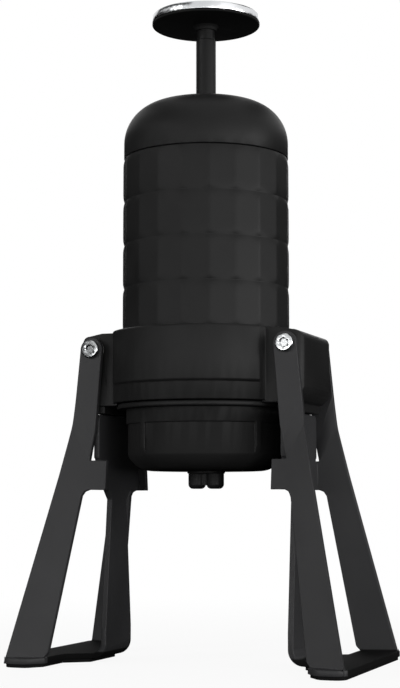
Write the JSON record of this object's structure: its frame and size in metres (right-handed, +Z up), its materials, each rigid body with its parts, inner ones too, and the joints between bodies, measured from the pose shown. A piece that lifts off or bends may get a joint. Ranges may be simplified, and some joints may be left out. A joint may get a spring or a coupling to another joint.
{
  "type": "handheld manual espresso maker",
  "caption": "Manual espresso maker: quilted water tank with a push-knob pump, screw-on basket holder and twin spout, on two splayed legs that fold up beside the body.",
  "frame": {"origin": "on the ground, on the axis of the round body, between the two feet", "axes": "+Z up along the body axis, X through both legs, the collar's front panel faces -Y"},
  "size_m": [0.1462, 0.0918, 0.2781],
  "materials": {
    "black_plastic": "fine moulded matt, very dark grey",
    "leg_coating": "satin dark grey powder coat on bent sheet",
    "rod_coating": "satin black",
    "bright_chrome": "polished plate",
    "stainless": "plain stainless steel",
    "pump_plastic": "pale food-grade plastic",
    "tank_plastic": "smooth smoke-grey plastic",
    "silicone": "soft grey silicone",
    "black_rubber": "matt black rubber"
  },
  "bodies": {
    "main_body": {"collar": "black_plastic", "grip_sleeve": "black_plastic", "tank_liner": "tank_plastic", "dispersion_block": "pump_plastic", "shower_screen": "stainless", "group_gasket": "silicone", "left_hinge_screws": "stainless", "right_hinge_screws": "stainless", "left_hinge_washers": "pump_plastic", "right_hinge_washers": "pump_plastic", "left_detent_plungers": "stainless", "right_detent_plungers": "stainless"},
    "pump_head": {"top_cap": "black_plastic", "cap_base": "black_plastic", "cap_seal": "silicone", "rod_bush": "pump_plastic", "rod_wiper": "silicone", "pump_barrel": "pump_plastic", "barrel_screws": "stainless", "barrel_plug": "pump_plastic", "valve_body": "pump_plastic", "nozzle_o_ring": "silicone", "inlet_flap": "silicone", "check_ball": "stainless", "check_spring": "stainless", "pump_spring": "stainless"},
    "plunger": {"pump_rod": "rod_coating", "piston": "pump_plastic", "piston_o_ring": "silicone", "knob_base": "black_plastic", "knob_plate": "bright_chrome", "knob_screw": "stainless"},
    "left_leg": {"left_leg": "leg_coating", "left_foot_pad": "black_rubber"},
    "right_leg": {"right_leg": "leg_coating", "right_foot_pad": "black_rubber"},
    "basket_holder": {"basket_holder": "black_plastic", "filter_basket": "stainless", "twin_spout": "black_plastic"}
  },
  "joints": [
    {"name": "left_leg_fold", "type": "hinge", "parent": "main_body", "child": "left_leg", "pos_m": [-0.0428, 0, 0.1313], "axis": [0, 1, 0], "range_deg": [0, 165]},
    {"name": "right_leg_fold", "type": "hinge", "parent": "main_body", "child": "right_leg", "pos_m": [0.0428, 0, 0.1313], "axis": [0, -1, 0], "range_deg": [0, 165]},
    {"name": "pump_head_lift", "type": "slide", "parent": "main_body", "child": "pump_head", "axis": [0, 0, 1], "range_m": [0, 0.1]},
    {"name": "plunger_stroke", "type": "slide", "parent": "pump_head", "child": "plunger", "axis": [0, 0, -1], "range_m": [0, 0.027], "stiffness_N_per_m": 300, "springref_m": -0.03, "deforming": ["pump_spring"]},
    {"name": "basket_holder_drop", "type": "slide", "parent": "main_body", "child": "basket_holder", "axis": [0, 0, -1], "range_m": [0, 0.03]}
  ]
}
